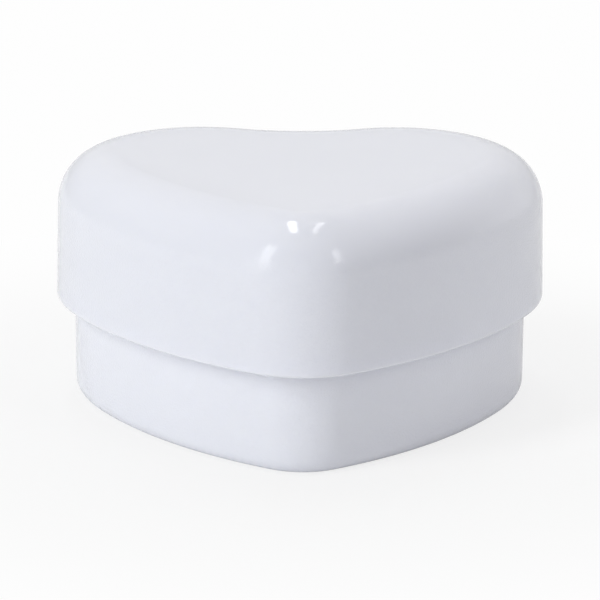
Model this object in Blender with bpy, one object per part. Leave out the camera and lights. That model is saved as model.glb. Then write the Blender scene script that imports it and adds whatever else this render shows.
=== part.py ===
"""Heart-shaped pill box: a deep pull-off lid over a two-compartment base.

Three moulded pieces, each its own object:

    base_shell   open heart-shaped tray: floor, wall, friction bead, two pairs of
                 guide ribs for the divider, and a recessed underside in a foot ring
    divider      upright wall from cleft to point, standing between the guide ribs
    lid_shell    deep cap with a pillowed upper edge, which slides straight up off
                 the base; its skirt is proud of the base all the way round

Frame: +Z up, underside of the foot ring at z = 0, the plan's bounding box centred
on the origin, the heart's point towards -Y and its cleft towards +Y.
Sizes are in millimetres and angles in degrees. Lengths become metres, by MM, where
the meshes and the scene are made.

A shell is a profile carried round the heart. A profile is a list of stations,
(inset, z), where the inset is measured inwards from the lid's widest outline.
"""

import math
from collections import namedtuple

import bmesh
import bpy
from mathutils import Vector

MM = 0.001

# ---------------------------------------------------------------- plan outline
# The lid's widest outline, made of tangent arcs, mirrored in x. From the cleft:
# a hollow arc, the back of the lobe, the outside of the lobe, two flatter side
# arcs and the rounded point. Every other outline is a parallel curve of it.
LID_WIDTH = 48.0
CLEFT_R = 13.7
LOBE_BACK_R = 14.2
LOBE_BACK_END_DEG = 32.5
LOBE_R = 14.9
SIDE_R = 22.7
SIDE_END_DEG = -27.0
SIDE_LOW_R = 46.5
POINT_R = 8.4
ARC_SAG = 0.025          # how far a facet may cut inside a plan arc
ARC_MIN_STEPS = 4

# ---------------------------------------------------------------- lid
LID_LIP_Z = 9.95         # underside of the skirt
LID_TOP_Z = 24.2         # flat top
LID_EDGE_LOWER_R = 5.0   # pillowed edge, lower arc
LID_EDGE_UPPER_R = 8.1   # pillowed edge, upper arc
LID_EDGE_SPLIT_DEG = 70.5  # where the lower arc gives way to the upper one
LID_DRAFT = 0.021        # inward lean of the skirt, mm per mm
LID_LIP_R = 0.25         # rounding of the skirt's outer lower edge
LID_LIP_CHAMFER = 0.20   # chamfer of its inner lower edge
LID_WALL = 1.20
LID_CEILING = 1.40
LID_BEAD_Z = 11.9        # retaining bead on the inside of the skirt

# ---------------------------------------------------------------- base
BASE_INSET = 1.78        # step from the lid's outline to the base's
BASE_DRAFT = 0.003       # lean of the outer wall below the lid's lip, mm per mm
BASE_BOTTOM_R = 1.40
BASE_RIM_Z = 18.8
BASE_RIM_R = 0.45
BASE_WALL = 1.20
BASE_FLOOR_Z = 1.60
BASE_INNER_DRAFT = 0.012
BASE_SCOOP_R = 3.0       # rounding between wall and floor, so that pills slide out
BASE_SCOOP_Z = BASE_FLOOR_Z + BASE_SCOOP_R  # where the wall starts to turn into the floor
BASE_BEAD_Z = 13.9       # friction bead on the outside of the wall
FOOT_WIDTH = 2.0         # flat ring the box stands on
FOOT_RECESS = 0.40       # how far the underside is set back inside the ring

# ---------------------------------------------------------------- both beads
BEAD_PROUD = 0.22
BEAD_HALF_HEIGHT = 0.75
OUTWARD, INWARD = -1, 1  # sign of the change of inset on each side of a wall

# ---------------------------------------------------------------- divider
DIVIDER_T = 1.0
DIVIDER_TOP_Z = 20.6
DIVIDER_SHOULDER_Z = BASE_RIM_Z - 0.8  # its shoulders stay a little below the rim
DIVIDER_SHOULDER_R = 0.8
DIVIDER_LEDGE = 0.2      # level stretch between the shoulder's arc and the neck's
DIVIDER_NECK_R = 0.8
DIVIDER_EDGE_R = 0.2     # rounding of the sheet's edges
GAP = 0.30               # between the divider and the tray or its ribs
RIB_T = 0.90             # guide ribs beside each end of the divider
RIB_REACH = 1.90         # how far a rib stands in from the wall
RIB_TOP_Z = 15.4
RIB_SINK = 0.60          # how far a rib is buried in wall and floor

SHARP_EDGE_DEG = 32      # edges that turn more than this are shaded sharp
BEVEL_EDGE_DEG = 60      # the divider's edges that turn more than this are rounded


# ================================================================ plan outline
# Sense is 1 for an arc that bulges out of the heart and -1 for a hollow one.
Arc = namedtuple("Arc", "centre radius start end sense")


def polar(radius, angle):
    return Vector((radius * math.cos(angle), radius * math.sin(angle)))


def angle_of(vector):
    return math.atan2(vector.y, vector.x)


def heart_arcs():
    """Arcs of the right-hand half of the lid's outline, cleft to point, angles in radians."""
    back_end = math.radians(LOBE_BACK_END_DEG)
    side_end = math.radians(SIDE_END_DEG)

    # Centres: each follows from tangency with its neighbour, the end two on x = 0.
    lobe = Vector((LID_WIDTH / 2 - LOBE_R, 0.0))
    back = lobe + polar(LOBE_R - LOBE_BACK_R, back_end)
    cleft_rise = math.sqrt((CLEFT_R + LOBE_BACK_R) ** 2 - back.x ** 2)
    cleft = Vector((0.0, back.y + cleft_rise))
    side = lobe + Vector((LOBE_R - SIDE_R, 0.0))
    low = side + polar(SIDE_R - SIDE_LOW_R, side_end)
    point_drop = math.sqrt((SIDE_LOW_R - POINT_R) ** 2 - low.x ** 2)
    point = Vector((0.0, low.y - point_drop))

    to_point = angle_of(point - low)
    arcs = [
        Arc(cleft, CLEFT_R, -math.pi / 2, angle_of(back - cleft), -1),
        Arc(back, LOBE_BACK_R, angle_of(cleft - back), back_end, 1),
        Arc(lobe, LOBE_R, back_end, 0.0, 1),
        Arc(side, SIDE_R, 0.0, side_end, 1),
        Arc(low, SIDE_LOW_R, side_end, to_point, 1),
        Arc(point, POINT_R, to_point, -math.pi / 2, 1),
    ]

    # Centre the plan in y.
    max_y = max(back.y + LOBE_BACK_R, cleft.y - CLEFT_R)
    min_y = point.y - POINT_R
    shift = Vector((0.0, -(max_y + min_y) / 2))
    return [arc._replace(centre=arc.centre + shift) for arc in arcs]


ARCS = heart_arcs()


def heart(inset):
    """Closed parallel outline at this inset, anticlockwise seen from above."""
    half = []
    for arc in ARCS:
        facet = 2 * math.acos(1 - ARC_SAG / arc.radius)
        sweep = arc.end - arc.start
        steps = max(ARC_MIN_STEPS, math.ceil(abs(sweep) / facet))
        # Each arc after the first starts on the last one's end point.
        for k in range(1 if half else 0, steps + 1):
            angle = arc.start + sweep * k / steps
            half.append(arc.centre + polar(arc.radius - arc.sense * inset, angle))
    half[0].x = 0.0
    half[-1].x = 0.0
    left = [Vector((-p.x, p.y)) for p in half[1:-1]]
    return left + half[::-1]


def cleft_y(inset):
    """y of the outline at the cleft."""
    return ARCS[0].centre.y - (ARCS[0].radius + inset)


def point_y(inset):
    """y of the outline at the point."""
    return ARCS[-1].centre.y - (ARCS[-1].radius - inset)


# ================================================================ profile parts
def arc_stations(inset, z, radius, start_deg, end_deg, steps):
    """Stations on an arc about (inset, z); angle 0 faces out of the heart and 90 faces up."""
    stations = []
    for k in range(steps + 1):
        angle = math.radians(start_deg + (end_deg - start_deg) * k / steps)
        stations.append((inset - radius * math.cos(angle), z + radius * math.sin(angle)))
    return stations


def bead(wall_inset, middle_z, direction):
    """A soft swelling on a wall's face, from its lower to its upper end."""
    stations = []
    for t in (-1, -0.5, 0, 0.5, 1):
        z = middle_z + t * BEAD_HALF_HEIGHT
        swell = BEAD_PROUD * 0.5 * (1 + math.cos(math.pi * t))
        stations.append((wall_inset(z) + direction * swell, z))
    return stations


# ================================================================ shell profiles
def lid_outer(z):
    return LID_DRAFT * (z - LID_LIP_Z)


def lid_inner(z):
    return lid_outer(z) + LID_WALL


def lid_edge(lower_steps, upper_steps):
    """(inset, z, angle) along the pillowed edge, from the top of the skirt to the flat top."""
    split = math.radians(LID_EDGE_SPLIT_DEG)
    growth = LID_EDGE_UPPER_R - LID_EDGE_LOWER_R
    upper_z = LID_TOP_Z - LID_EDGE_UPPER_R
    lower_z = upper_z + growth * math.sin(split)
    lower_inset = lid_outer(lower_z) + LID_EDGE_LOWER_R
    upper_inset = lower_inset + growth * math.cos(split)

    lower_angles = [split * k / lower_steps for k in range(lower_steps + 1)]
    upper_angles = [
        split + (math.pi / 2 - split) * k / upper_steps for k in range(1, upper_steps + 1)
    ]
    stations = []
    for inset, z, radius, angles in (
        (lower_inset, lower_z, LID_EDGE_LOWER_R, lower_angles),
        (upper_inset, upper_z, LID_EDGE_UPPER_R, upper_angles),
    ):
        for a in angles:
            stations.append((inset - radius * math.cos(a), z + radius * math.sin(a), a))
    return stations


def lid_profile():
    """From the flat top down the outside, round the lip and up the inside to the ceiling."""
    edge = [(inset, z) for inset, z, _ in reversed(lid_edge(7, 4))]
    lip = arc_stations(lid_outer(LID_LIP_Z) + LID_LIP_R, LID_LIP_Z + LID_LIP_R, LID_LIP_R, 0, -90, 3)
    chamfer = [
        (lid_inner(LID_LIP_Z) - LID_LIP_CHAMFER, LID_LIP_Z),
        (lid_inner(LID_LIP_Z), LID_LIP_Z + LID_LIP_CHAMFER),
    ]
    retainer = bead(lid_inner, LID_BEAD_Z, INWARD)
    # Inside the pillowed edge the thickness grows from the wall's to the ceiling's.
    inside = []
    for inset, z, angle in lid_edge(4, 2):
        wall = LID_WALL + (LID_CEILING - LID_WALL) * angle / (math.pi / 2)
        inside.append((inset + wall * math.cos(angle), z - wall * math.sin(angle)))
    return edge + lip + chamfer + retainer + inside


def base_outer(z):
    return BASE_INSET + BASE_DRAFT * max(0.0, LID_LIP_Z - z)


def base_inner(z):
    return BASE_INSET + BASE_WALL + BASE_INNER_DRAFT * (BASE_RIM_Z - z)


def base_profile():
    """From the recessed underside up the outside, over the rim and down to the floor."""
    foot = base_outer(0.0) + BASE_BOTTOM_R
    under = [(foot + FOOT_WIDTH + FOOT_RECESS, FOOT_RECESS), (foot + FOOT_WIDTH, 0.0)]
    heel = arc_stations(foot, BASE_BOTTOM_R, BASE_BOTTOM_R, -90, 0, 4)
    draft_end = [(base_outer(LID_LIP_Z), LID_LIP_Z)]
    grip = bead(base_outer, BASE_BEAD_Z, OUTWARD)
    rim_z = BASE_RIM_Z - BASE_RIM_R
    rim = arc_stations(base_outer(rim_z) + BASE_RIM_R, rim_z, BASE_RIM_R, 0, 90, 3)
    rim += arc_stations(base_inner(rim_z) - BASE_RIM_R, rim_z, BASE_RIM_R, 90, 180, 3)
    scoop_inset = base_inner(BASE_SCOOP_Z) + BASE_SCOOP_R
    scoop = arc_stations(scoop_inset, BASE_SCOOP_Z, BASE_SCOOP_R, 0, -90, 5)
    return under + heel + draft_end + grip + rim + scoop


# ================================================================ mesh building
def finish_mesh(bm, name):
    mesh = bpy.data.meshes.new(name)
    bm.to_mesh(mesh)
    bm.free()
    return mesh


def add_object(name, data):
    obj = bpy.data.objects.new(name, data)
    bpy.context.scene.collection.objects.link(obj)
    return obj


def add_piece(name, mesh, material):
    mesh.materials.append(material)
    mesh.shade_smooth()
    mesh.set_sharp_from_angle(angle=math.radians(SHARP_EDGE_DEG))
    return add_object(name, mesh)


def shell_mesh(name, profile, origin_z=0.0):
    """One closed body: the profile carried round the heart, its first and last rings capped."""
    bm = bmesh.new()
    rings = []
    for inset, z in profile:
        mesh_z = (z - origin_z) * MM
        rings.append([bm.verts.new((p.x * MM, p.y * MM, mesh_z)) for p in heart(inset)])
    count = len(rings[0])
    for ring, following in zip(rings, rings[1:]):
        for k in range(count):
            after = (k + 1) % count
            bm.faces.new((ring[k], ring[after], following[after], following[k]))
    bm.faces.new(list(reversed(rings[0])))
    bm.faces.new(rings[-1])
    bmesh.ops.recalc_face_normals(bm, faces=bm.faces)
    return finish_mesh(bm, name)


def box_mesh(name, low, high):
    """Plain box between two corners."""
    bm = bmesh.new()
    bmesh.ops.create_cube(bm, size=1.0)
    for vert in bm.verts:
        vert.co = Vector([(l if c < 0 else h) * MM for c, l, h in zip(vert.co, low, high)])
    return finish_mesh(bm, name)


def divider_end():
    """Stations up one end of the divider, from the floor to its top edge."""
    scoop_r = BASE_SCOOP_R - GAP
    scoop_inset = base_inner(BASE_SCOOP_Z) + GAP + scoop_r
    stations = arc_stations(scoop_inset, BASE_SCOOP_Z, scoop_r, -90, 0, 6)

    # The shoulder's first station leans with the tray's wall; the rest of its arc is upright.
    shoulder_inset = base_inner(BASE_RIM_Z) + GAP + DIVIDER_SHOULDER_R
    arc_z = DIVIDER_SHOULDER_Z - DIVIDER_SHOULDER_R
    stations.append((base_inner(DIVIDER_SHOULDER_Z) + GAP, arc_z))
    stations += arc_stations(shoulder_inset, arc_z, DIVIDER_SHOULDER_R, 0, 90, 4)[1:]

    ledge_inset = shoulder_inset + DIVIDER_LEDGE
    neck_z = DIVIDER_SHOULDER_Z + DIVIDER_NECK_R
    stations += arc_stations(ledge_inset, neck_z, DIVIDER_NECK_R, -90, -180, 4)

    crown_r = DIVIDER_TOP_Z - neck_z
    crown_inset = ledge_inset + DIVIDER_NECK_R + crown_r
    return stations + arc_stations(crown_inset, neck_z, crown_r, 0, 90, 5)[1:]


def divider_mesh():
    """Upright sheet on x = 0, drawn in above its shoulders to pass under the lid's edge."""
    end = divider_end()
    outline = [(point_y(inset), z) for inset, z in end]
    outline += [(cleft_y(inset), z) for inset, z in reversed(end)]

    bm = bmesh.new()
    face = bm.faces.new([bm.verts.new((-DIVIDER_T / 2 * MM, y * MM, z * MM)) for y, z in outline])
    grown = bmesh.ops.extrude_face_region(bm, geom=[face])
    moved = [item for item in grown["geom"] if isinstance(item, bmesh.types.BMVert)]
    bmesh.ops.translate(bm, verts=moved, vec=(DIVIDER_T * MM, 0, 0))
    bmesh.ops.recalc_face_normals(bm, faces=bm.faces)
    return finish_mesh(bm, "divider")


# ================================================================ pieces
def plastic(name, colour, roughness):
    material = bpy.data.materials.new(name)
    material.use_nodes = True
    inputs = material.node_tree.nodes["Principled BSDF"].inputs
    inputs["Base Color"].default_value = (*colour, 1.0)
    inputs["Roughness"].default_value = roughness
    inputs["Metallic"].default_value = 0.0
    inputs["IOR"].default_value = 1.49
    return material


def build_lid(material):
    """The lid slides straight up, so its parent empty stands on the slide's axis at the lip."""
    lift_axis = add_object("lid_lift_axis", None)
    lift_axis.location = (0.0, 0.0, LID_LIP_Z * MM)
    mesh = shell_mesh("lid_shell", lid_profile(), origin_z=LID_LIP_Z)
    lid = add_piece("lid_shell", mesh, material)
    lid.parent = lift_axis


def guide_rib_boxes():
    """Corners of the four ribs: one each side of the divider, at the cleft and at the point."""
    near_x = DIVIDER_T / 2 + GAP
    far_x = near_x + RIB_T
    rim_inset = base_inner(BASE_RIM_Z)
    cleft_wall = cleft_y(rim_inset)
    point_wall = point_y(rim_inset)
    boxes = []
    for x0, x1 in ((-far_x, -near_x), (near_x, far_x)):
        for y0, y1 in (
            (cleft_wall - RIB_REACH, cleft_wall + RIB_SINK),
            (point_wall - RIB_SINK, point_wall + RIB_REACH),
        ):
            boxes.append(((x0, y0, BASE_FLOOR_Z - RIB_SINK), (x1, y1, RIB_TOP_Z)))
    return boxes


def build_base(material):
    base = add_piece("base_shell", shell_mesh("base_shell", base_profile()), material)
    # Each rib is a hidden helper box, joined to the tray by a union.
    for k, (low, high) in enumerate(guide_rib_boxes()):
        name = f"guide_rib_{k}"
        helper = add_object(name, box_mesh(name, low, high))
        helper.hide_render = True
        helper.display_type = "WIRE"
        union = base.modifiers.new(name, "BOOLEAN")
        union.operation = "UNION"
        union.solver = "EXACT"
        union.object = helper


def build_divider(material):
    divider = add_piece("divider", divider_mesh(), material)
    bevel = divider.modifiers.new("edge_rounding", "BEVEL")
    bevel.width = DIVIDER_EDGE_R * MM
    bevel.segments = 2
    bevel.limit_method = "ANGLE"
    bevel.angle_limit = math.radians(BEVEL_EDGE_DEG)


for old in list(bpy.data.objects):
    bpy.data.objects.remove(old)

build_lid(plastic("lid_white_plastic", colour=(0.80, 0.81, 0.85), roughness=0.28))
build_base(plastic("base_white_plastic", colour=(0.79, 0.80, 0.84), roughness=0.38))
build_divider(plastic("divider_white_plastic", colour=(0.80, 0.81, 0.84), roughness=0.34))
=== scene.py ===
"""Looks of a heart-shaped pill box: a lid, a base and a divider wall, swept over the CAD frame.

The box stands on z = 0. The heart's cleft is at the back (+Y) and its point in front (-Y), and the
divider runs between them in the plane x = 0. Each shell is one closed skin: a profile carried round
parallel hearts made of tangent arcs. Shapes are worked out in mm and built in metres.
"""

import math

import bmesh
import bpy
from mathutils import Matrix, Vector


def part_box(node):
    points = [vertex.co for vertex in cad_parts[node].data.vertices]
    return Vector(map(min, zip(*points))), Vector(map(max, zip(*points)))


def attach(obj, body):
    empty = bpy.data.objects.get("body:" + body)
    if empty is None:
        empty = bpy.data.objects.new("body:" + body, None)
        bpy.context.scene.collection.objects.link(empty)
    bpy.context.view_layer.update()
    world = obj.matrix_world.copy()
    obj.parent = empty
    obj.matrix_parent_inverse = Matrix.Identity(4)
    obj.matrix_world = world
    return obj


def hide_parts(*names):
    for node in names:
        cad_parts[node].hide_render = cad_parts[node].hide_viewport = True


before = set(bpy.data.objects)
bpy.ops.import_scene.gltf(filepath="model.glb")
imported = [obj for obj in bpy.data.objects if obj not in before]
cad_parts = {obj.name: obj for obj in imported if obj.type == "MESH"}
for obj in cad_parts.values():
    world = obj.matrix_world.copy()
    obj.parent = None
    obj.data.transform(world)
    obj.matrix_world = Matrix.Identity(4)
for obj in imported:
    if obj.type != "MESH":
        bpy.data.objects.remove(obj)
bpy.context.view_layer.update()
SCENE = bpy.context.scene

MM = 0.001

# ------------------------------------------------------------------ sizes from the frame, in mm
lid_low, lid_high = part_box("lid_shell")
base_low, base_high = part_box("base_shell")
divider_low, divider_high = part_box("divider")

BEAD_PROUD = 0.22
LID_WIDTH = (lid_high.x - lid_low.x) / MM
LID_BACK_Y = lid_high.y / MM
LID_LIP_Z = lid_low.z / MM
LID_TOP_Z = lid_high.z / MM
# the base is widest at its bead, so its wall lies that much further in
BASE_INSET = (lid_high.x - base_high.x) / MM + BEAD_PROUD
BASE_RIM_Z = base_high.z / MM
DIVIDER_THICK = (divider_high.x - divider_low.x) / MM
DIVIDER_FOOT_Z = divider_low.z / MM
DIVIDER_TOP_Z = divider_high.z / MM

# ------------------------------------------------------------------ form, in mm and degrees
# lid outline, arc by arc from the cleft to the point
CLEFT_R = 13.7
LOBE_BACK_R = 14.2
LOBE_BACK_END_DEG = 32.5
LOBE_R = 14.9
SIDE_R = 22.7
SIDE_END_DEG = -27.0
SIDE_LOW_R = 46.5
POINT_R = 8.4
ARC_SAG = 0.003          # facets this fine stay smooth in a close view
ARC_MIN_STEPS = 6

# the lid's rounded top edge is two tangent arcs that meet at the split angle
EDGE_LOW_R = 5.0
EDGE_HIGH_R = 8.1
EDGE_SPLIT_DEG = 70.5
LID_DRAFT = 0.021        # drafts are inset per mm of height
LID_LIP_R = 0.25
LID_LIP_INNER_R = 0.22
LID_WALL = 1.20
LID_CEILING = 1.40
LID_BEAD_Z = 11.9

BASE_DRAFT = 0.003
BASE_BOTTOM_R = 1.40
BASE_RIM_R = 0.45
BASE_WALL = 1.20
BASE_FLOOR_Z = DIVIDER_FOOT_Z - 0.30
BASE_INNER_DRAFT = 0.012
SCOOP_R = 3.0            # between the base's inner wall and its floor
SCOOP_TOP_Z = BASE_FLOOR_Z + SCOOP_R
BASE_BEAD_Z = 13.9
BASE_COLLAR_Z = 12.0     # the wall above the lid's lip has close stations up to here

# the foot ring and the step up to the recessed underside
FOOT_WIDTH = 2.0
FOOT_RECESS = 0.40
FOOT_OUTER_EASE = 0.30
STEP_LOW_EASE = 0.10
STEP_HIGH_EASE = 0.12
STEP_EASE_Z = 0.04

BEAD_HALF = 0.75         # half a bead's height
BEAD_STEPS = 12

# how much spark-eroded grain a station carries: 1 on upright walls, 0 where the mould is polished
SATIN = 1.0
LIP_GRAIN = 0.6
GRIP_GRAIN = 0.4
FOOT_GRAIN = 0.3
POLISHED = 0.0
POLISH_END_Z = 22.9      # the lid's polish starts to dull here, on the way down its rounded edge,
SATIN_FULL_Z = 19.6      # and from here down it is fully satin

GAP = 0.30               # between the divider and what holds it
RIB_THICK = 0.90
RIB_REACH = 1.90
RIB_TOP_Z = 15.4
RIB_SINK = 0.60          # how far a rib runs into the wall and floor
RIB_TAPER = 0.86         # thickness at the top over thickness at the foot
SHOULDER_DROP = 0.8
SHOULDER_R = 0.8
SHOULDER_FLAT = 0.2
NECK_R = 0.8
EDGE_ROUND = 0.22        # on the edges of the ribs and divider
WELL_R = 1.3
WELL_START_Z = -1.0
WELL_TOP_Z = FOOT_RECESS + 0.15
WELL_STEPS = 64

SHARP_DEG = 40           # steeper edges are shaded sharp


# ------------------------------------------------------------------ plan outline
def polar(radius, angle):
    return Vector((radius * math.cos(angle), radius * math.sin(angle)))


def angle_of(vector):
    return math.atan2(vector.y, vector.x)


def heart_arcs():
    """Arcs of the right-hand half, cleft to point: (centre, radius, start, end, sense).

    Sense is 1 for an arc that bulges outwards and -1 for the cleft.
    """
    back_end = math.radians(LOBE_BACK_END_DEG)
    side_end = math.radians(SIDE_END_DEG)
    lobe = Vector((LID_WIDTH / 2 - LOBE_R, 0.0))
    back = lobe + polar(LOBE_R - LOBE_BACK_R, back_end)
    cleft_rise = math.sqrt((CLEFT_R + LOBE_BACK_R) ** 2 - back.x ** 2)
    cleft = Vector((0.0, back.y + cleft_rise))
    side = lobe + Vector((LOBE_R - SIDE_R, 0.0))
    low = side + polar(SIDE_R - SIDE_LOW_R, side_end)
    point_drop = math.sqrt((SIDE_LOW_R - POINT_R) ** 2 - low.x ** 2)
    point = Vector((0.0, low.y - point_drop))
    low_end = angle_of(point - low)
    shift = Vector((0.0, LID_BACK_Y - (back.y + LOBE_BACK_R)))
    arcs = [
        (cleft, CLEFT_R, -math.pi / 2, angle_of(back - cleft), -1),
        (back, LOBE_BACK_R, angle_of(cleft - back), back_end, 1),
        (lobe, LOBE_R, back_end, 0.0, 1),
        (side, SIDE_R, 0.0, side_end, 1),
        (low, SIDE_LOW_R, side_end, low_end, 1),
        (point, POINT_R, low_end, -math.pi / 2, 1),
    ]
    return [(centre + shift, *rest) for centre, *rest in arcs]


ARCS = heart_arcs()


def heart(inset):
    """Closed outline parallel to the lid's, anticlockwise from above."""
    half = []
    for i, (centre, radius, start, end, sense) in enumerate(ARCS):
        facet = 2 * math.acos(1 - ARC_SAG / radius)
        steps = max(ARC_MIN_STEPS, math.ceil(abs(end - start) / facet))
        for k in range(0 if i == 0 else 1, steps + 1):
            angle = start + (end - start) * k / steps
            half.append(centre + polar(radius - sense * inset, angle))
    half[0].x = 0.0
    half[-1].x = 0.0
    left = [Vector((-spot.x, spot.y)) for spot in half[1:-1]]
    return left + list(reversed(half))


def on_axis(inset):
    """Y of the cleft and of the point on a parallel heart."""
    cleft, point = ARCS[0], ARCS[-1]
    return cleft[0].y - (cleft[1] + inset), point[0].y - (point[1] - inset)


CLEFT_WALL_Y, POINT_WALL_Y = on_axis(BASE_INSET + BASE_WALL)


# ------------------------------------------------------------------ profile pieces, as (inset, z)
def straight(face, start_z, end_z, steps):
    """Even stations along a wall face, the first left out. The face gives inset from height."""
    heights = [start_z + (end_z - start_z) * k / steps for k in range(1, steps + 1)]
    return [(face(z), z) for z in heights]


def bead(face, middle_z, sense):
    """A rounded bead on a wall face, outwards for sense -1 and inwards for 1."""
    points = []
    for k in range(BEAD_STEPS + 1):
        along = -1 + 2 * k / BEAD_STEPS
        swell = BEAD_PROUD * 0.5 * (1 + math.cos(math.pi * along))
        z = middle_z + along * BEAD_HALF
        points.append((face(z) + sense * swell, z))
    return points


def corner(inset, z, radius, start_deg, end_deg, steps):
    """An arc about (inset, z): angle 0 faces out of the wall, 90 faces up."""
    points = []
    for k in range(steps + 1):
        angle = math.radians(start_deg + (end_deg - start_deg) * k / steps)
        points.append((inset - radius * math.cos(angle), z + radius * math.sin(angle)))
    return points


def grained(*parts):
    """Join (points, grain) parts into stations (inset, z, grain)."""
    return [(inset, z, grain) for points, grain in parts for inset, z in points]


# ------------------------------------------------------------------ lid and base profiles
def lid_edge(low_steps, high_steps):
    """The rounded edge from the wall up to the top: (inset, z, angle of the surface)."""
    split = math.radians(EDGE_SPLIT_DEG)
    low_rise = EDGE_LOW_R * math.sin(split)
    high_rise = EDGE_HIGH_R * (1 - math.sin(split))
    start_z = LID_TOP_Z - low_rise - high_rise
    lean = LID_DRAFT * (start_z - LID_LIP_Z)
    points = []
    for k in range(low_steps + 1):
        angle = split * k / low_steps
        inset = lean + EDGE_LOW_R * (1 - math.cos(angle))
        points.append((inset, start_z + EDGE_LOW_R * math.sin(angle), angle))
    split_inset = lean + EDGE_LOW_R * (1 - math.cos(split))
    for k in range(1, high_steps + 1):
        angle = split + (math.pi / 2 - split) * k / high_steps
        inset = split_inset + EDGE_HIGH_R * (math.cos(split) - math.cos(angle))
        z = start_z + low_rise + EDGE_HIGH_R * (math.sin(angle) - math.sin(split))
        points.append((inset, z, angle))
    return points


def lid_profile():
    """From the top down the outside, round the lip and up the inside."""
    def outer(z):
        return LID_DRAFT * (z - LID_LIP_Z)

    def inner(z):
        return outer(z) + LID_WALL

    def satin_share(z):
        return min(1.0, max(0.0, (POLISH_END_Z - z) / (POLISH_END_Z - SATIN_FULL_Z)))

    edge = lid_edge(20, 12)
    edge_z = edge[0][1]
    top = [(inset, z, satin_share(z)) for inset, z, _ in reversed(edge)]
    lip_z = LID_LIP_Z + LID_LIP_R
    lip_in_z = LID_LIP_Z + LID_LIP_INNER_R
    lip_in_inset = inner(LID_LIP_Z) - LID_LIP_INNER_R
    walls = grained(
        (straight(outer, edge_z, lip_z, 10), SATIN),
        (corner(outer(LID_LIP_Z) + LID_LIP_R, lip_z, LID_LIP_R, 0, -90, 6)[1:], LIP_GRAIN),
        (corner(lip_in_inset, lip_in_z, LID_LIP_INNER_R, 270, 180, 4), POLISHED),
        (bead(inner, LID_BEAD_Z, 1), POLISHED),
        (straight(inner, LID_BEAD_Z + BEAD_HALF, edge_z, 4)[:-1], POLISHED),
    )
    # the inside of the edge, thickening from wall to ceiling
    ceiling = []
    for inset, z, angle in lid_edge(14, 8):
        wall = LID_WALL + (LID_CEILING - LID_WALL) * angle / (math.pi / 2)
        ceiling.append((inset + wall * math.cos(angle), z - wall * math.sin(angle), POLISHED))
    return top + walls + ceiling


def base_profile():
    """From the underside up the outside, over the rim and down the inside to the floor."""
    def outer(z):
        return BASE_INSET + BASE_DRAFT * max(0.0, LID_LIP_Z - z)

    def inner(z):
        return BASE_INSET + BASE_WALL + BASE_INNER_DRAFT * (BASE_RIM_Z - z)

    foot = outer(0.0) + BASE_BOTTOM_R
    step = foot + FOOT_WIDTH
    under = [
        (step + FOOT_RECESS + STEP_HIGH_EASE, FOOT_RECESS),
        (step + FOOT_RECESS, FOOT_RECESS - STEP_EASE_Z),
        (step + STEP_LOW_EASE, STEP_EASE_Z),
        (step, 0.0),
        (foot + FOOT_OUTER_EASE, 0.0),
    ]
    rim_z = BASE_RIM_Z - BASE_RIM_R
    return grained(
        (under, FOOT_GRAIN),
        (corner(foot, BASE_BOTTOM_R, BASE_BOTTOM_R, -90, 0, 10), SATIN),
        (straight(outer, BASE_BOTTOM_R, LID_LIP_Z, 10), SATIN),
        (straight(outer, LID_LIP_Z, BASE_COLLAR_Z, 3), SATIN),
        (bead(outer, BASE_BEAD_Z, -1), GRIP_GRAIN),
        (straight(outer, BASE_BEAD_Z + BEAD_HALF, rim_z, 3)[:-1], GRIP_GRAIN),
        (corner(outer(rim_z) + BASE_RIM_R, rim_z, BASE_RIM_R, 0, 90, 7), POLISHED),
        (corner(inner(rim_z) - BASE_RIM_R, rim_z, BASE_RIM_R, 90, 180, 7), POLISHED),
        (straight(inner, rim_z, SCOOP_TOP_Z, 8)[:-1], POLISHED),
        (corner(inner(SCOOP_TOP_Z) + SCOOP_R, SCOOP_TOP_Z, SCOOP_R, 0, -90, 18), POLISHED),
    )


# ------------------------------------------------------------------ mesh building
def shade(mesh):
    mesh.shade_smooth()
    mesh.set_sharp_from_angle(angle=math.radians(SHARP_DEG))


def finish_mesh(name, shape):
    bmesh.ops.recalc_face_normals(shape, faces=shape.faces)
    mesh = bpy.data.meshes.new(name)
    shape.to_mesh(mesh)
    shape.free()
    shade(mesh)
    obj = bpy.data.objects.new(name, mesh)
    SCENE.collection.objects.link(obj)
    return obj


def add_wall(shape, first, last):
    """Quads between two closed rings of vertices."""
    count = len(first)
    for k in range(count):
        after = (k + 1) % count
        shape.faces.new((first[k], first[after], last[after], last[k]))


def add_caps(shape, first, last):
    return [shape.faces.new(list(reversed(first))), shape.faces.new(last)]


def sweep(name, profile):
    """One closed skin: the stations carried round parallel hearts, first and last filled."""
    shape = bmesh.new()
    grain_layer = shape.verts.layers.float.new("grain")
    rings = []
    for inset, z, grain in profile:
        ring = []
        for spot in heart(inset):
            vert = shape.verts.new((spot.x * MM, spot.y * MM, z * MM))
            vert[grain_layer] = grain
            ring.append(vert)
        rings.append(ring)
    for ring, following in zip(rings, rings[1:]):
        add_wall(shape, ring, following)
    caps = add_caps(shape, rings[0], rings[-1])
    bmesh.ops.triangulate(shape, faces=caps, quad_method="BEAUTY", ngon_method="BEAUTY")
    return finish_mesh(name, shape)


def apply_modifiers(obj):
    depsgraph = bpy.context.evaluated_depsgraph_get()
    mesh = bpy.data.meshes.new_from_object(obj.evaluated_get(depsgraph), depsgraph=depsgraph)
    old = obj.data
    obj.modifiers.clear()
    obj.data = mesh
    bpy.data.meshes.remove(old)


def round_edges(obj, limit_deg):
    """Round every edge sharper than the limit."""
    bevel = obj.modifiers.new("round", "BEVEL")
    bevel.width = EDGE_ROUND * MM
    bevel.segments = 4
    bevel.limit_method = "ANGLE"
    bevel.angle_limit = math.radians(limit_deg)
    apply_modifiers(obj)


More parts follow.
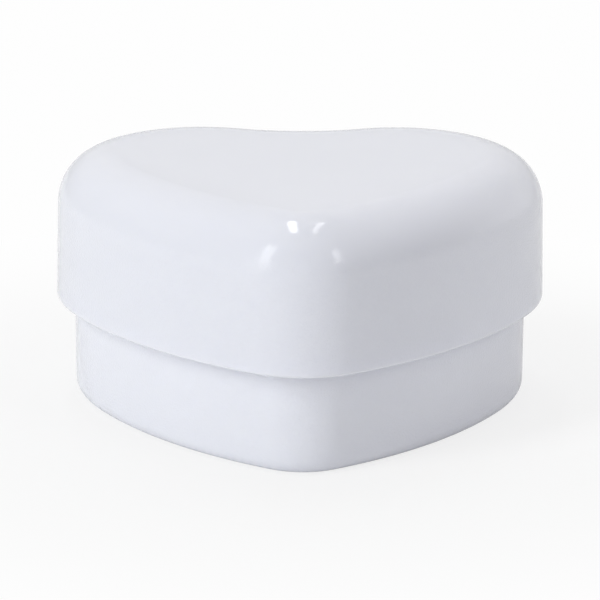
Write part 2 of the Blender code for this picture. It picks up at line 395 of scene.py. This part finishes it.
def boolean(target, helpers, operation):
    for helper in helpers:
        cut = target.modifiers.new("cut", "BOOLEAN")
        cut.operation = operation
        cut.solver = "EXACT"
        cut.object = helper
    bpy.context.view_layer.update()
    apply_modifiers(target)
    for helper in helpers:
        bpy.data.objects.remove(helper)
    shade(target.data)


# ------------------------------------------------------------------ the three pieces
def build_rib(name, low, high):
    """A guide rib, thinner at its top so that it leaves the mould."""
    shape = bmesh.new()
    bmesh.ops.create_cube(shape, size=1.0)
    middle = (low[0] + high[0]) / 2
    for vert in shape.verts:
        place = [start if c < 0 else end for c, start, end in zip(vert.co, low, high)]
        if vert.co.z > 0:
            place[0] = middle + (place[0] - middle) * RIB_TAPER
        vert.co = Vector([c * MM for c in place])
    obj = finish_mesh(name, shape)
    round_edges(obj, limit_deg=50)
    return obj


def build_ribs():
    """A pair of ribs astride the divider at the cleft, and another at the point."""
    inner_x = DIVIDER_THICK / 2 + GAP
    spans = (
        (CLEFT_WALL_Y - RIB_REACH, CLEFT_WALL_Y + RIB_SINK),
        (POINT_WALL_Y - RIB_SINK, POINT_WALL_Y + RIB_REACH),
    )
    ribs = []
    for side in (-1, 1):
        x_low, x_high = sorted((side * inner_x, side * (inner_x + RIB_THICK)))
        for y_low, y_high in spans:
            low = (x_low, y_low, BASE_FLOOR_Z - RIB_SINK)
            ribs.append(build_rib(f"rib_{len(ribs)}", low, (x_high, y_high, RIB_TOP_Z)))
    return ribs


def build_gate_well():
    """The round well to be cut in the middle of the underside."""
    shape = bmesh.new()
    low, high = [], []
    for k in range(WELL_STEPS):
        spot = polar(WELL_R, 2 * math.pi * k / WELL_STEPS)
        low.append(shape.verts.new((spot.x * MM, spot.y * MM, WELL_START_Z * MM)))
        high.append(shape.verts.new((spot.x * MM, spot.y * MM, WELL_TOP_Z * MM)))
    add_wall(shape, low, high)
    add_caps(shape, low, high)
    return finish_mesh("gate_well", shape)


def build_base():
    obj = sweep("base_skin", base_profile())
    return obj


def build_divider():
    """A flat wall with scooped lower corners, and a shoulder and neck at each end."""
    foot_r = SCOOP_R - GAP
    foot_inset = BASE_INNER_DRAFT * (BASE_RIM_Z - SCOOP_TOP_Z) + GAP + foot_r
    shoulder_z = BASE_RIM_Z - SHOULDER_DROP
    shoulder_low_z = shoulder_z - SHOULDER_R
    neck = GAP + SHOULDER_R + NECK_R + SHOULDER_FLAT
    neck_z = shoulder_z + NECK_R
    crown_r = DIVIDER_TOP_Z - neck_z
    # one end from foot to top: (distance in from the base's inner wall at the rim, z)
    end = corner(foot_inset, SCOOP_TOP_Z, foot_r, -90, 0, 18)
    end.append((BASE_INNER_DRAFT * SHOULDER_DROP + GAP, shoulder_low_z))
    end += corner(GAP + SHOULDER_R, shoulder_low_z, SHOULDER_R, 0, 90, 8)[1:]
    end += corner(neck - NECK_R, neck_z, NECK_R, -90, -180, 8)
    end += corner(neck + crown_r, neck_z, crown_r, 0, 90, 12)[1:]
    outline = [(POINT_WALL_Y + inset, z) for inset, z in end]
    outline += [(CLEFT_WALL_Y - inset, z) for inset, z in reversed(end)]

    shape = bmesh.new()
    half = DIVIDER_THICK / 2 * MM
    left, right = (
        [shape.verts.new((x, y * MM, z * MM)) for y, z in outline] for x in (-half, half)
    )
    add_wall(shape, left, right)
    add_caps(shape, left, right)
    obj = finish_mesh("divider_wall", shape)
    round_edges(obj, limit_deg=60)
    shade(obj.data)
    return obj


lid = sweep("lid_skin", lid_profile())
base = build_base()
divider = build_divider()
boolean(base, build_ribs(), "UNION")
boolean(base, [build_gate_well()], "DIFFERENCE")

for piece, node, body, slot in (
    (lid, "lid_shell", "lid", "lid_plastic"),
    (base, "base_shell", "base", "base_plastic"),
    (divider, "divider", "base", "divider_plastic"),
):
    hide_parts(node)
    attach(piece, body)


# ------------------------------------------------------------------ node trees
def grey(value):
    return (value, value, value, 1.0)


class Nodes:
    """Writes the node tree of a material or world. An input may be a value or a socket."""

    def __init__(self, owner):
        owner.use_nodes = True
        self.tree = owner.node_tree

    def fill(self, node, inputs):
        for key, value in inputs.items():
            if isinstance(value, bpy.types.NodeSocket):
                self.tree.links.new(value, node.inputs[key])
            else:
                node.inputs[key].default_value = value

    def add(self, kind, inputs=None, **settings):
        node = self.tree.nodes.new(kind)
        for key, value in settings.items():
            setattr(node, key, value)
        self.fill(node, inputs or {})
        return node

    def maths(self, operation, a, b, clamp=False):
        node = self.add("ShaderNodeMath", {0: a, 1: b}, operation=operation, use_clamp=clamp)
        return node.outputs[0]

    def swing(self, value, amount):
        """A 0 to 1 value centred on zero and scaled."""
        return self.maths("MULTIPLY", self.maths("SUBTRACT", value, 0.5), amount)

    def mix(self, share, a, b):
        """a where share is 0, b where it is 1."""
        return self.add("ShaderNodeMix", {0: share, 2: a, 3: b}, data_type="FLOAT").outputs[0]

    def mix_colour(self, share, a, b, blend="MIX"):
        inputs = {0: share, 6: a, 7: b}
        node = self.add("ShaderNodeMix", inputs, data_type="RGBA", blend_type=blend)
        return node.outputs[2]

    def ramp(self, value, low, high):
        """0 up to low, 1 from high on, and smooth between."""
        inputs = {"Value": value, "From Min": low, "From Max": high}
        node = self.add("ShaderNodeMapRange", inputs, interpolation_type="SMOOTHSTEP")
        return node.outputs["Result"]

    def noise(self, coords, scale, detail, rough):
        inputs = {"Scale": scale, "Detail": detail, "Roughness": rough, "Vector": coords}
        return self.add("ShaderNodeTexNoise", inputs).outputs["Fac"]


# ------------------------------------------------------------------ plastic
LID_WHITE = (0.800, 0.807, 0.872)
# painted light: the base's white is lighter than the lid's same plastic, standing in for the light the
# base gets too little of under the lid's lip and near the floor
BASE_WHITE_WITH_PAINTED_LIGHT = (0.828, 0.835, 0.903)
WAVE_DEPTH = 1.0e-5      # metres
PLASTIC = {
    "IOR": 1.49,
    "Subsurface Weight": 1.0,
    "Subsurface Radius": (1.0, 1.0, 1.0),
    "Subsurface Scale": 0.0007,
}


def moulded_plastic(name, colour, polished, satin, pit_depth):
    """Moulded white plastic. The mesh's grain fades it from polished to spark-eroded.

    polished and satin are the roughness of the two faces, and pit_depth is in metres.
    """
    material = bpy.data.materials.new(name)
    nodes = Nodes(material)
    coords = nodes.add("ShaderNodeTexCoord").outputs["Object"]
    grain = nodes.add("ShaderNodeAttribute", attribute_name="grain").outputs["Fac"]
    eroded = nodes.ramp(grain, low=0.45, high=0.85)

    # spark-eroded grain: pits of about 0.2 and 0.1 mm, weighted 4 to 1
    coarse = nodes.noise(coords, scale=5500.0, detail=1.0, rough=0.5)
    fine = nodes.noise(coords, scale=9500.0, detail=2.0, rough=0.6)
    coarse_part = nodes.maths("MULTIPLY", coarse, 0.8)
    pits = nodes.maths("ADD", coarse_part, nodes.maths("MULTIPLY", fine, 0.2))
    # long, shallow flow and sink waves in the moulded face
    waves = nodes.noise(coords, scale=120.0, detail=2.0, rough=0.45)
    pit_height = nodes.maths("MULTIPLY", nodes.maths("MULTIPLY", pits, eroded), pit_depth)
    height = nodes.maths("ADD", pit_height, nodes.maths("MULTIPLY", waves, WAVE_DEPTH))
    # where the face turns out of sight its pits hide one another, so the texture fades there
    turned = nodes.add("ShaderNodeLayerWeight", {"Blend": 0.5}).outputs["Facing"]
    strength = nodes.mix(nodes.ramp(turned, low=0.70, high=0.92), 1.0, 0.06)
    relief = {"Distance": 1.0, "Height": height, "Strength": strength}
    bump = nodes.add("ShaderNodeBump", relief)

    # handling dulls the polish a little, in patches
    patches = nodes.noise(coords, scale=90.0, detail=3.0, rough=0.55)
    gloss = nodes.maths("ADD", polished, nodes.swing(patches, 0.3 * polished))
    matt = nodes.maths("ADD", satin, nodes.swing(pits, 0.1))

    # the pigment is almost even: a faint cloudiness, and a slight change with the pits
    cloud = nodes.noise(coords, scale=160.0, detail=3.0, rough=0.6)
    clouded = nodes.maths("ADD", 1.0, nodes.swing(cloud, 0.012))
    pit_tone = nodes.maths("MULTIPLY", nodes.swing(pits, eroded), 0.015)
    shade_value = nodes.maths("ADD", clouded, pit_tone)
    tone = nodes.add("ShaderNodeCombineColor", dict.fromkeys(range(3), shade_value)).outputs[0]

    nodes.fill(nodes.tree.nodes["Principled BSDF"], {
        "Normal": bump.outputs["Normal"],
        "Roughness": nodes.mix(grain, gloss, matt),
        "Base Color": nodes.mix_colour(1.0, (*colour, 1.0), tone, blend="MULTIPLY"),
        **PLASTIC,
    })
    return material


for piece, plastic in (
    (lid, moulded_plastic("lid_white", LID_WHITE, polished=0.06, satin=0.13, pit_depth=38.0e-6)),
    # the base and the divider take the lighter white, whose extra brightness is painted light
    (base, moulded_plastic("base_white_painted_light", BASE_WHITE_WITH_PAINTED_LIGHT, polished=0.12, satin=0.13, pit_depth=38.0e-6)),
    (divider, moulded_plastic("divider_white", BASE_WHITE_WITH_PAINTED_LIGHT, polished=0.20, satin=0.24, pit_depth=8.0e-6)),
):
    piece.data.materials.clear()
    piece.data.materials.append(plastic)

# ------------------------------------------------------------------ floor, in metres
BACKDROP = 0.99          # the white that the camera sees behind and around the box
FLOOR_ALBEDO = 0.83
FLOOR_SHADOW = 0.22      # how much of the contact shadow is let through
FLOOR_GLOSSY = 0.1       # how much of the backdrop white shows to reflected rays
FLOOR_HALF = 3.0
FLOOR_Z = -0.00002
WHITE_START = 0.026      # distances from the middle where the paper starts to turn
WHITE_FULL = 0.07        # even white, and where it is wholly so


def pale_paper():
    """Diffuse paper near the box that runs out into even white, as a light tent's sweep does."""
    material = bpy.data.materials.new("pale_paper")
    nodes = Nodes(material)
    shader = nodes.tree.nodes["Principled BSDF"]
    nodes.fill(shader, {
        "Base Color": grey(FLOOR_ALBEDO),
        "Roughness": 0.8,
        "Specular IOR Level": 0.1,
    })
    path = nodes.add("ShaderNodeLightPath").outputs
    glossy = nodes.maths("MULTIPLY", path["Is Glossy Ray"], FLOOR_GLOSSY)
    seen = nodes.maths("ADD", path["Is Camera Ray"], glossy, clamp=True)
    coords = nodes.add("ShaderNodeTexCoord").outputs["Object"]
    reach = nodes.add("ShaderNodeVectorMath", {0: coords}, operation="LENGTH").outputs["Value"]
    far = nodes.ramp(reach, low=WHITE_START, high=WHITE_FULL)
    white = nodes.add("ShaderNodeEmission", {"Strength": 1.0, "Color": grey(BACKDROP)})
    share = nodes.maths("MULTIPLY", nodes.mix(far, 1.0 - FLOOR_SHADOW, 1.0), seen)
    inputs = {0: share, 1: shader.outputs[0], 2: white.outputs[0]}
    blend = nodes.add("ShaderNodeMixShader", inputs)
    nodes.fill(nodes.tree.nodes["Material Output"], {"Surface": blend.outputs[0]})
    return material


def build_floor():
    shape = bmesh.new()
    corners = ((-1, -1), (1, -1), (1, 1), (-1, 1))
    shape.faces.new(
        [shape.verts.new((x * FLOOR_HALF, y * FLOOR_HALF, FLOOR_Z)) for x, y in corners]
    )
    floor = finish_mesh("studio_floor", shape)
    floor.data.materials.append(pale_paper())


build_floor()

# ------------------------------------------------------------------ light, in metres and degrees
TENT_WALLS = [           # azimuth, elevation, tightness, glow
    (60.0, 45.0, 10.0, 0.74),
    (0.0, 5.0, 10.0, 0.62),
    (30.0, 5.0, 10.0, 0.28),
    (120.0, 5.0, 10.0, 1.12),
    (120.0, 45.0, 10.0, 0.42),
    (180.0, 20.0, 4.0, 0.51),
    (180.0, 35.0, 2.0, 0.36),
    (-120.0, 45.0, 10.0, 0.33),
    (-60.0, 5.0, 10.0, 0.34),
    (-110.0, 5.0, 8.0, 0.30),
    (-50.0, 55.0, 5.0, 0.26),
]
TENT_FABRIC = 0.03       # even glow from all round
LIT = Vector((0.0, -0.015, 0.022))      # near the lid's point, where the lights are aimed
SOFTBOX_DISTANCE = 0.9
WHITE_LIGHT = (1.0, 1.0, 1.0)
KEY = {
    "azimuth": -55.8, "elevation": 28.0, "wide": 13.5, "high": 48.0, "lean": -6.7,
    "colour": (0.985, 1.01, 1.0),
}


def towards(azimuth, elevation):
    """Unit vector from the box. Azimuth 0 is in front, at -Y, and 90 is at +X."""
    turn, rise = math.radians(azimuth), math.radians(elevation)
    level = math.cos(rise)
    return Vector((math.sin(turn) * level, -math.cos(turn) * level, math.sin(rise)))


def build_tent():
    """World light: the fabric's even glow plus one broad soft glow for each lit wall."""
    world = bpy.data.worlds.new("light_tent")
    nodes = Nodes(world)
    look = nodes.add("ShaderNodeTexCoord").outputs["Generated"]
    total = TENT_FABRIC
    for azimuth, elevation, tightness, strength in TENT_WALLS:
        inputs = {0: look, 1: towards(azimuth, elevation)}
        dot = nodes.add("ShaderNodeVectorMath", inputs, operation="DOT_PRODUCT")
        facing = nodes.maths("MAXIMUM", dot.outputs["Value"], 0.0)
        glow = nodes.maths("MULTIPLY", nodes.maths("POWER", facing, tightness), strength)
        total = nodes.maths("ADD", glow, total)
    to_camera = nodes.add("ShaderNodeLightPath").outputs["Is Camera Ray"]
    colour = nodes.mix_colour(to_camera, total, grey(BACKDROP))
    nodes.fill(nodes.tree.nodes["Background"], {"Color": colour, "Strength": 1.0})
    SCENE.world = world


def area(name, width, height, power, colour, where, facing, along):
    """A rectangular light at where, shining along facing, with its height along the last."""
    data = bpy.data.lights.new(name, "AREA")
    data.shape = "RECTANGLE"
    data.size = width
    data.size_y = height
    data.energy = power
    data.color = colour
    obj = bpy.data.objects.new(name, data)
    SCENE.collection.objects.link(obj)
    obj.visible_camera = False
    y_axis = (along - along.dot(facing) * facing).normalized()
    turn = Matrix((y_axis.cross(-facing), y_axis, -facing)).transposed()
    obj.matrix_world = Matrix.Translation(where) @ turn.to_4x4()
    return obj


def softbox(name, azimuth, elevation, wide, high, lean, power, colour=WHITE_LIGHT):
    """A softbox that spans wide by high degrees. Its top leans towards +azimuth."""
    width, height = (
        2 * SOFTBOX_DISTANCE * math.tan(math.radians(span / 2)) for span in (wide, high)
    )
    out = towards(azimuth, elevation)
    level = towards(azimuth + 90.0, 0.0)
    lean = math.radians(lean)
    along = out.cross(level) * math.cos(lean) + level * math.sin(lean)
    return area(name, width, height, power, colour, LIT + out * SOFTBOX_DISTANCE, -out, along)


def strip(name, front, back, wide, power):
    """A strip light overhead, between two end points measured from LIT, turned to face it."""
    front, back = Vector(front), Vector(back)
    middle = (front + back) / 2
    along = (back - front).normalized()
    out = (middle - middle.dot(along) * along).normalized()
    area(name, wide, (back - front).length, power, WHITE_LIGHT, LIT + middle, -out, along)


build_tent()
softbox("left_key", power=1.7, **KEY)
# the part of the key that leaves no reflection, as cross-polarised light does
softbox("left_key_broad", power=3.2, **KEY).visible_glossy = False
softbox("right_fill", azimuth=50.9, elevation=31.8, wide=10.9, high=24.5, lean=7.1, power=0.55)
strip("strip_left", front=(-0.103, 0.075, 0.80), back=(-0.118, 1.060, 1.26), wide=0.092, power=2.1)
strip("strip_right", front=(0.122, 0.060, 0.80), back=(0.148, 0.620, 0.80), wide=0.062, power=0.32)

# ------------------------------------------------------------------ camera
CAMERA_ELEVATION = 16.086               # degrees
CAMERA_AZIMUTH = 0.778
CAMERA_ROLL = -0.341
CAMERA_DISTANCE = 0.350                 # metres
CAMERA_AIM = Vector((-0.085 * MM, 0.0, 11.02 * MM))
SENSOR_WIDTH = 36.0                     # mm
LENS = 216.564                          # mm


def build_camera():
    data = bpy.data.cameras.new("camera")
    data.sensor_width = SENSOR_WIDTH
    data.lens = LENS
    data.clip_start = 0.01
    data.clip_end = 10.0
    camera = bpy.data.objects.new("camera", data)
    SCENE.collection.objects.link(camera)
    rise, swing, roll = map(math.radians, (CAMERA_ELEVATION, CAMERA_AZIMUTH, CAMERA_ROLL))
    level = math.cos(rise)
    forward = Vector((math.sin(swing) * level, math.cos(swing) * level, -math.sin(rise)))
    flat_right = Vector((math.cos(swing), -math.sin(swing), 0.0))
    flat_up = flat_right.cross(forward)
    right = flat_right * math.cos(roll) - flat_up * math.sin(roll)
    up = flat_right * math.sin(roll) + flat_up * math.cos(roll)
    turn = Matrix((right, up, -forward)).transposed()
    where = CAMERA_AIM - forward * CAMERA_DISTANCE
    camera.matrix_world = Matrix.Translation(where) @ turn.to_4x4()
    SCENE.camera = camera


build_camera()

# white plastic passes light on many times inside the box
SCENE.cycles.max_bounces = 16
SCENE.cycles.diffuse_bounces = 12
SCENE.view_settings.view_transform = "Standard"
SCENE.view_settings.look = "None"
